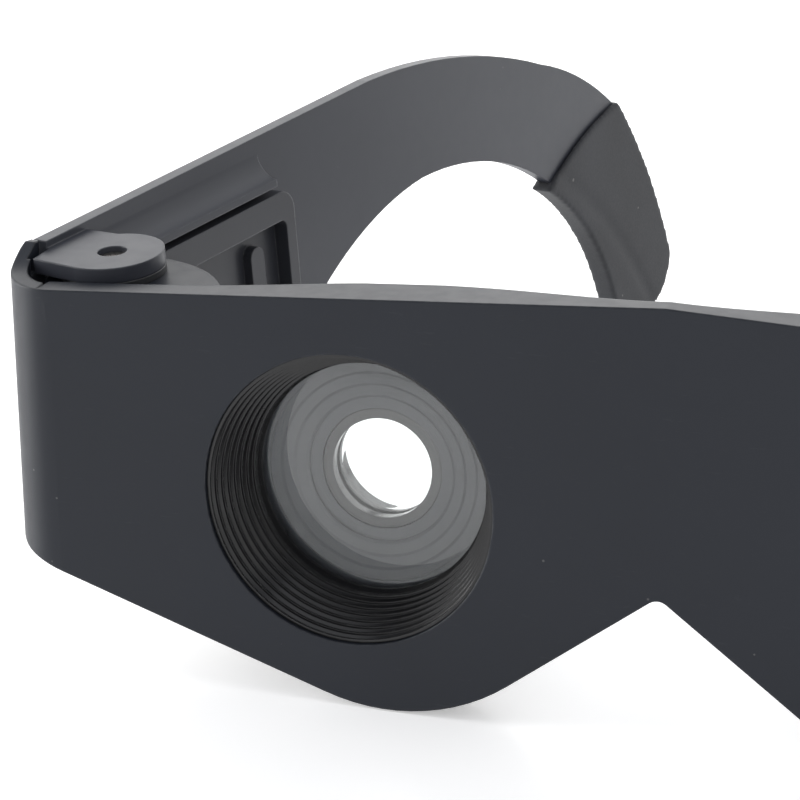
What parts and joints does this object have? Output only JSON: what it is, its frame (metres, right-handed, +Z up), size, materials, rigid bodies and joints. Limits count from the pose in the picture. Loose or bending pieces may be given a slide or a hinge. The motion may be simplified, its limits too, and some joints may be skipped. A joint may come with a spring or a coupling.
{
  "type": "binocular loupe spectacles",
  "caption": "Head-worn binocular loupe: bent front shell with telescope barrels in ribbed hoods, turning focus rings, folding broad temples with rubber ear sleeves.",
  "frame": {"origin": "centre of the object's bounding box in plan, at the surface that it stands on", "axes": "+Z up, -Y towards the scene that the wearer looks at, +Y back along the temples, X across, symmetric about X = 0"},
  "size_m": [0.1644, 0.1748, 0.0579],
  "materials": {
    "shell_plastic": "satin moulded charcoal",
    "hood_plastic": "semi-gloss black",
    "barrel_plastic": "flocked matt black",
    "baffle_plastic": "satin dark grey",
    "lens_glass": "polished, coated",
    "cover_plastic": "fine sparked texture",
    "ring_plastic": "knurled satin",
    "cell_plastic": "glossy dark grey",
    "screw_steel": "blackened steel",
    "pin_steel": "turned steel",
    "washer_nylon": "smooth nylon",
    "temple_plastic": "satin moulded charcoal",
    "liner_plastic": "satin moulded charcoal",
    "sleeve_rubber": "soft matt rubber",
    "nose_rubber": "soft silicone"
  },
  "bodies": {
    "front": {"baffle_left": "baffle_plastic", "baffle_right": "baffle_plastic", "barrel_turret_left": "cover_plastic", "barrel_turret_right": "cover_plastic", "cover_screws": "screw_steel", "front_shell": "shell_plastic", "hinge_pin_left": "pin_steel", "hinge_pin_right": "pin_steel", "hinge_washer_left": "washer_nylon", "hinge_washer_right": "washer_nylon", "lens_hood_left": "hood_plastic", "lens_hood_right": "hood_plastic", "nose_pad": "nose_rubber", "objective_barrel_left": "barrel_plastic", "objective_barrel_right": "barrel_plastic", "objective_lens_left": "lens_glass", "objective_lens_right": "lens_glass", "objective_retainer_left": "hood_plastic", "objective_retainer_right": "hood_plastic", "rear_cover": "cover_plastic"},
    "focus_ring_left": {"focus_ring_left": "ring_plastic"},
    "focus_ring_right": {"focus_ring_right": "ring_plastic"},
    "eyepiece_left": {"eyepiece_cell_left": "cell_plastic", "eyepiece_lens_left": "lens_glass", "eyepiece_retainer_left": "hood_plastic"},
    "eyepiece_right": {"eyepiece_cell_right": "cell_plastic", "eyepiece_lens_right": "lens_glass", "eyepiece_retainer_right": "hood_plastic"},
    "temple_left": {"ear_sleeve_left": "sleeve_rubber", "temple_arm_left": "temple_plastic", "temple_liner_left": "liner_plastic", "temple_screws_left": "screw_steel"},
    "temple_right": {"ear_sleeve_right": "sleeve_rubber", "temple_arm_right": "temple_plastic", "temple_liner_right": "liner_plastic", "temple_screws_right": "screw_steel"}
  },
  "joints": [
    {"name": "temple_fold_left", "type": "hinge", "parent": "front", "child": "temple_left", "pos_m": [-0.07057, -0.07376, 0.03548], "axis": [-0.0274, -0.0812, 0.9963], "range_deg": [-46, 0]},
    {"name": "temple_fold_right", "type": "hinge", "parent": "front", "child": "temple_right", "pos_m": [0.07057, -0.07376, 0.03548], "axis": [0.0274, -0.0812, 0.9963], "range_deg": [0, 10]},
    {"name": "focus_turn_left", "type": "hinge", "parent": "front", "child": "focus_ring_left", "pos_m": [-0.0371, -0.07202, 0.0253], "axis": [0, 0.9996, -0.0288], "range_deg": [0, 150]},
    {"name": "eyepiece_travel_left", "type": "slide", "parent": "front", "child": "eyepiece_left", "axis": [0, 0.9996, -0.0288], "range_m": [0, 0.0014]},
    {"name": "focus_turn_right", "type": "hinge", "parent": "front", "child": "focus_ring_right", "pos_m": [0.0371, -0.07202, 0.0253], "axis": [0, 0.9996, -0.0288], "range_deg": [0, 150]},
    {"name": "eyepiece_travel_right", "type": "slide", "parent": "front", "child": "eyepiece_right", "axis": [0, 0.9996, -0.0288], "range_m": [0, 0.0014]}
  ],
  "couplings": [
    {"joint": "eyepiece_travel_left", "follows": "focus_turn_left", "m_per_rad": 0.00053472},
    {"joint": "eyepiece_travel_right", "follows": "focus_turn_right", "m_per_rad": 0.00053472}
  ]
}
